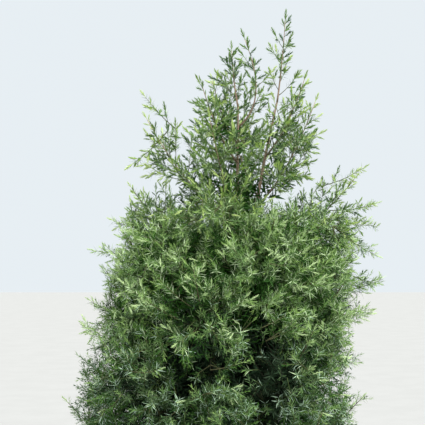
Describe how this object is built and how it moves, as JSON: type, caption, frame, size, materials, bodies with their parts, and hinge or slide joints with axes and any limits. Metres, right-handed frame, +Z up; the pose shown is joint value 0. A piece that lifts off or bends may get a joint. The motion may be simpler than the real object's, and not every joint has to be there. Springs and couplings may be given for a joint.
{
  "type": "potted upright juniper",
  "caption": "Bushy upright juniper with a dense lower crown and an open leading top, standing in a plain round terracotta pot of compost.",
  "frame": {"origin": "centre of the pot's flat underside", "axes": "+Z up along the pot's axis, -Y towards the viewer of the picture, +X to the viewer's right"},
  "size_m": [0.8336, 0.7898, 1.8561],
  "materials": {
    "terracotta": "unglazed, matte",
    "compost": "moist, crumbly",
    "bark": "rough, peeling in strips",
    "foliage": "fine needles, waxy",
    "young_foliage": "fine needles, fresh"
  },
  "bodies": {
    "root": {"pot": "terracotta", "compost": "compost", "trunk": "bark", "right_leader": "bark", "bough_low_1": "bark", "bough_low_2": "bark", "bough_low_3": "bark", "bough_low_4": "bark", "bough_middle_1": "bark", "bough_middle_2": "bark", "bough_middle_3": "bark", "bough_middle_4": "bark", "bough_middle_5": "bark", "bough_shoulder_1": "bark", "bough_shoulder_2": "bark", "bough_shoulder_3": "bark", "bough_shoulder_4": "bark", "bough_skirt_1": "bark", "bough_skirt_2": "bark", "bough_skirt_3": "bark", "bough_skirt_4": "bark", "bough_waist_1": "bark", "bough_waist_2": "bark", "bough_waist_3": "bark", "bough_waist_4": "bark", "foliage_left_top": "young_foliage", "foliage_low_1": "foliage", "foliage_low_2": "foliage", "foliage_low_3": "foliage", "foliage_low_4": "foliage", "foliage_middle_1": "foliage", "foliage_middle_2": "foliage", "foliage_middle_3": "foliage", "foliage_middle_4": "foliage", "foliage_middle_5": "foliage", "foliage_middle_top": "young_foliage", "foliage_peak_1": "young_foliage", "foliage_peak_2": "young_foliage", "foliage_peak_3": "young_foliage", "foliage_right_top": "young_foliage", "foliage_shoulder_1": "foliage", "foliage_shoulder_2": "foliage", "foliage_shoulder_3": "foliage", "foliage_shoulder_4": "foliage", "foliage_skirt_1": "foliage", "foliage_skirt_2": "foliage", "foliage_skirt_3": "foliage", "foliage_skirt_4": "foliage", "foliage_top_1": "young_foliage", "foliage_top_2": "young_foliage", "foliage_top_3": "young_foliage", "foliage_top_4": "young_foliage", "foliage_upper_1": "young_foliage", "foliage_upper_2": "young_foliage", "foliage_upper_3": "young_foliage", "foliage_upper_4": "young_foliage", "foliage_waist_1": "foliage", "foliage_waist_2": "foliage", "foliage_waist_3": "foliage", "foliage_waist_4": "foliage"}
  },
  "joints": []
}
